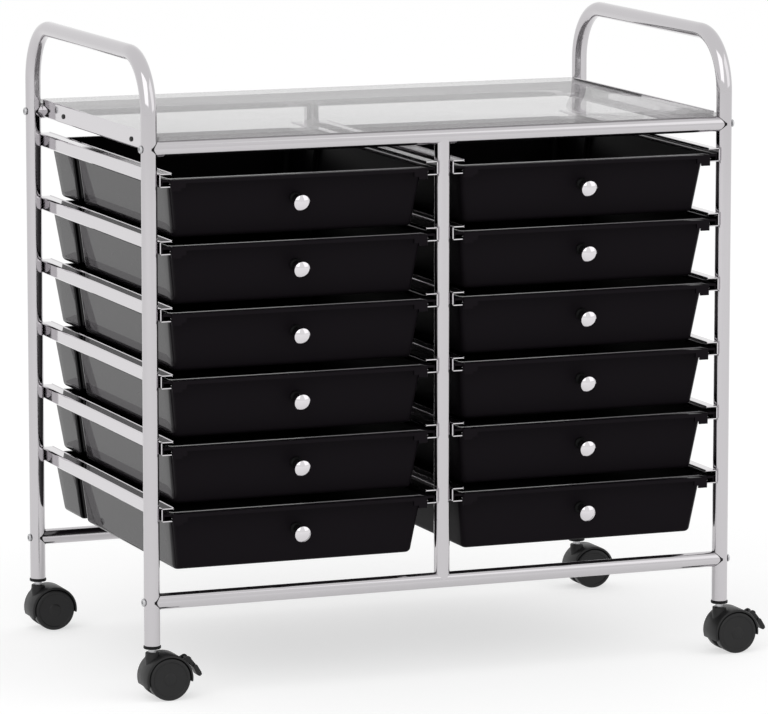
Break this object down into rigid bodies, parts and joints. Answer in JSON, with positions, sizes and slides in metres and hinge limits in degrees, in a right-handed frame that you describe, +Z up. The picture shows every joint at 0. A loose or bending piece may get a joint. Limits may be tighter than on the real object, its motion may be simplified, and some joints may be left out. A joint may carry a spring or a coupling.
{
  "type": "rolling_drawer_cart",
  "caption": "Rolling cart with two columns of black drawers in a chrome tube frame, a clear top and four casters",
  "frame": {"origin": "on the floor under the middle of the cart's box, wheels included", "axes": "+X to the cart's right, +Y to its rear, +Z up; the drawers open toward -Y"},
  "size_m": [0.6803, 0.403, 0.647],
  "materials": {
    "chrome_tube": "bright chrome-plated steel tube and sheet",
    "chrome_knob": "bright chrome cap on a black neck",
    "zinc_steel": "zinc-plated steel",
    "black_steel": "blackened screws",
    "gloss_drawer": "polished moulded plastic, black",
    "soft_black_plastic": "moulded black plastic with a soft sheen",
    "black_plastic": "moulded black plastic",
    "clear_panel": "clear, slightly tinted plastic sheet"
  },
  "bodies": {
    "frame": {"side_frame_left": "chrome_tube", "side_frame_right": "chrome_tube", "top_bar_front": "chrome_tube", "top_bar_rear": "chrome_tube", "bottom_bar_front": "chrome_tube", "bottom_bar_rear": "chrome_tube", "centre_post_front": "chrome_tube", "centre_post_rear": "chrome_tube", "bar_end_caps": "black_plastic", "frame_bolts": "zinc_steel", "leg_sockets": "black_plastic", "caster_stems": "zinc_steel", "rails_left_column": "chrome_tube", "rails_right_column": "chrome_tube", "panel_rail_left": "chrome_tube", "panel_rail_right": "chrome_tube", "top_panel": "clear_panel", "panel_screws": "black_steel"},
    "left_drawer_1": {"drawer_left_1": "gloss_drawer", "knob_left_1": "chrome_knob"},
    "left_drawer_2": {"drawer_left_2": "gloss_drawer", "knob_left_2": "chrome_knob"},
    "left_drawer_3": {"drawer_left_3": "gloss_drawer", "knob_left_3": "chrome_knob"},
    "left_drawer_4": {"drawer_left_4": "gloss_drawer", "knob_left_4": "chrome_knob"},
    "left_drawer_5": {"drawer_left_5": "gloss_drawer", "knob_left_5": "chrome_knob"},
    "left_drawer_6": {"drawer_left_6": "gloss_drawer", "knob_left_6": "chrome_knob"},
    "right_drawer_1": {"drawer_right_1": "gloss_drawer", "knob_right_1": "chrome_knob"},
    "right_drawer_2": {"drawer_right_2": "gloss_drawer", "knob_right_2": "chrome_knob"},
    "right_drawer_3": {"drawer_right_3": "gloss_drawer", "knob_right_3": "chrome_knob"},
    "right_drawer_4": {"drawer_right_4": "gloss_drawer", "knob_right_4": "chrome_knob"},
    "right_drawer_5": {"drawer_right_5": "gloss_drawer", "knob_right_5": "chrome_knob"},
    "right_drawer_6": {"drawer_right_6": "gloss_drawer", "knob_right_6": "chrome_knob"},
    "front_left_swivel": {"caster_housing_front_left": "soft_black_plastic", "caster_axle_front_left": "zinc_steel"},
    "front_left_wheel_a": {"wheel_a_front_left": "soft_black_plastic"},
    "front_left_wheel_b": {"wheel_b_front_left": "soft_black_plastic"},
    "left_brake": {"brake_lever_left": "soft_black_plastic"},
    "front_right_swivel": {"caster_housing_front_right": "soft_black_plastic", "caster_axle_front_right": "zinc_steel"},
    "front_right_wheel_a": {"wheel_a_front_right": "soft_black_plastic"},
    "front_right_wheel_b": {"wheel_b_front_right": "soft_black_plastic"},
    "right_brake": {"brake_lever_right": "soft_black_plastic"},
    "rear_left_swivel": {"caster_housing_rear_left": "soft_black_plastic", "caster_axle_rear_left": "zinc_steel"},
    "rear_left_wheel_a": {"wheel_a_rear_left": "soft_black_plastic"},
    "rear_left_wheel_b": {"wheel_b_rear_left": "soft_black_plastic"},
    "rear_right_swivel": {"caster_housing_rear_right": "soft_black_plastic", "caster_axle_rear_right": "zinc_steel"},
    "rear_right_wheel_a": {"wheel_a_rear_right": "soft_black_plastic"},
    "rear_right_wheel_b": {"wheel_b_rear_right": "soft_black_plastic"}
  },
  "joints": [
    {"name": "slide_left_1", "type": "slide", "parent": "frame", "child": "left_drawer_1", "axis": [0, -1, 0], "range_m": [0, 0.28]},
    {"name": "slide_left_2", "type": "slide", "parent": "frame", "child": "left_drawer_2", "axis": [0, -1, 0], "range_m": [0, 0.28]},
    {"name": "slide_left_3", "type": "slide", "parent": "frame", "child": "left_drawer_3", "axis": [0, -1, 0], "range_m": [0, 0.28]},
    {"name": "slide_left_4", "type": "slide", "parent": "frame", "child": "left_drawer_4", "axis": [0, -1, 0], "range_m": [0, 0.28]},
    {"name": "slide_left_5", "type": "slide", "parent": "frame", "child": "left_drawer_5", "axis": [0, -1, 0], "range_m": [0, 0.28]},
    {"name": "slide_left_6", "type": "slide", "parent": "frame", "child": "left_drawer_6", "axis": [0, -1, 0], "range_m": [0, 0.28]},
    {"name": "slide_right_1", "type": "slide", "parent": "frame", "child": "right_drawer_1", "axis": [0, -1, 0], "range_m": [0, 0.28]},
    {"name": "slide_right_2", "type": "slide", "parent": "frame", "child": "right_drawer_2", "axis": [0, -1, 0], "range_m": [0, 0.28]},
    {"name": "slide_right_3", "type": "slide", "parent": "frame", "child": "right_drawer_3", "axis": [0, -1, 0], "range_m": [0, 0.28]},
    {"name": "slide_right_4", "type": "slide", "parent": "frame", "child": "right_drawer_4", "axis": [0, -1, 0], "range_m": [0, 0.28]},
    {"name": "slide_right_5", "type": "slide", "parent": "frame", "child": "right_drawer_5", "axis": [0, -1, 0], "range_m": [0, 0.28]},
    {"name": "slide_right_6", "type": "slide", "parent": "frame", "child": "right_drawer_6", "axis": [0, -1, 0], "range_m": [0, 0.28]},
    {"name": "swivel_front_left", "type": "hinge", "parent": "frame", "child": "front_left_swivel", "pos_m": [-0.32925, -0.1845, 0.0475], "axis": [0, 0, 1], "continuous": true},
    {"name": "roll_a_front_left", "type": "hinge", "parent": "front_left_swivel", "child": "front_left_wheel_a", "pos_m": [-0.31575, -0.1958, 0.0214], "axis": [0, 1, 0], "continuous": true},
    {"name": "roll_b_front_left", "type": "hinge", "parent": "front_left_swivel", "child": "front_left_wheel_b", "pos_m": [-0.31575, -0.1732, 0.0214], "axis": [0, 1, 0], "continuous": true},
    {"name": "brake_left", "type": "hinge", "parent": "front_left_swivel", "child": "left_brake", "pos_m": [-0.29392, -0.1845, 0.03845], "axis": [0, -1, 0], "range_deg": [0, 25]},
    {"name": "swivel_front_right", "type": "hinge", "parent": "frame", "child": "front_right_swivel", "pos_m": [0.28975, -0.1845, 0.0475], "axis": [0, 0, 1], "continuous": true},
    {"name": "roll_a_front_right", "type": "hinge", "parent": "front_right_swivel", "child": "front_right_wheel_a", "pos_m": [0.30325, -0.1958, 0.0214], "axis": [0, 1, 0], "continuous": true},
    {"name": "roll_b_front_right", "type": "hinge", "parent": "front_right_swivel", "child": "front_right_wheel_b", "pos_m": [0.30325, -0.1732, 0.0214], "axis": [0, 1, 0], "continuous": true},
    {"name": "brake_right", "type": "hinge", "parent": "front_right_swivel", "child": "right_brake", "pos_m": [0.32508, -0.1845, 0.03845], "axis": [0, -1, 0], "range_deg": [0, 25]},
    {"name": "swivel_rear_left", "type": "hinge", "parent": "frame", "child": "rear_left_swivel", "pos_m": [-0.32925, 0.1845, 0.0475], "axis": [0, 0, 1], "continuous": true},
    {"name": "roll_a_rear_left", "type": "hinge", "parent": "rear_left_swivel", "child": "rear_left_wheel_a", "pos_m": [-0.31575, 0.1732, 0.0214], "axis": [0, 1, 0], "continuous": true},
    {"name": "roll_b_rear_left", "type": "hinge", "parent": "rear_left_swivel", "child": "rear_left_wheel_b", "pos_m": [-0.31575, 0.1958, 0.0214], "axis": [0, 1, 0], "continuous": true},
    {"name": "swivel_rear_right", "type": "hinge", "parent": "frame", "child": "rear_right_swivel", "pos_m": [0.28975, 0.1845, 0.0475], "axis": [0, 0, 1], "continuous": true},
    {"name": "roll_a_rear_right", "type": "hinge", "parent": "rear_right_swivel", "child": "rear_right_wheel_a", "pos_m": [0.30325, 0.1732, 0.0214], "axis": [0, 1, 0], "continuous": true},
    {"name": "roll_b_rear_right", "type": "hinge", "parent": "rear_right_swivel", "child": "rear_right_wheel_b", "pos_m": [0.30325, 0.1958, 0.0214], "axis": [0, 1, 0], "continuous": true}
  ]
}
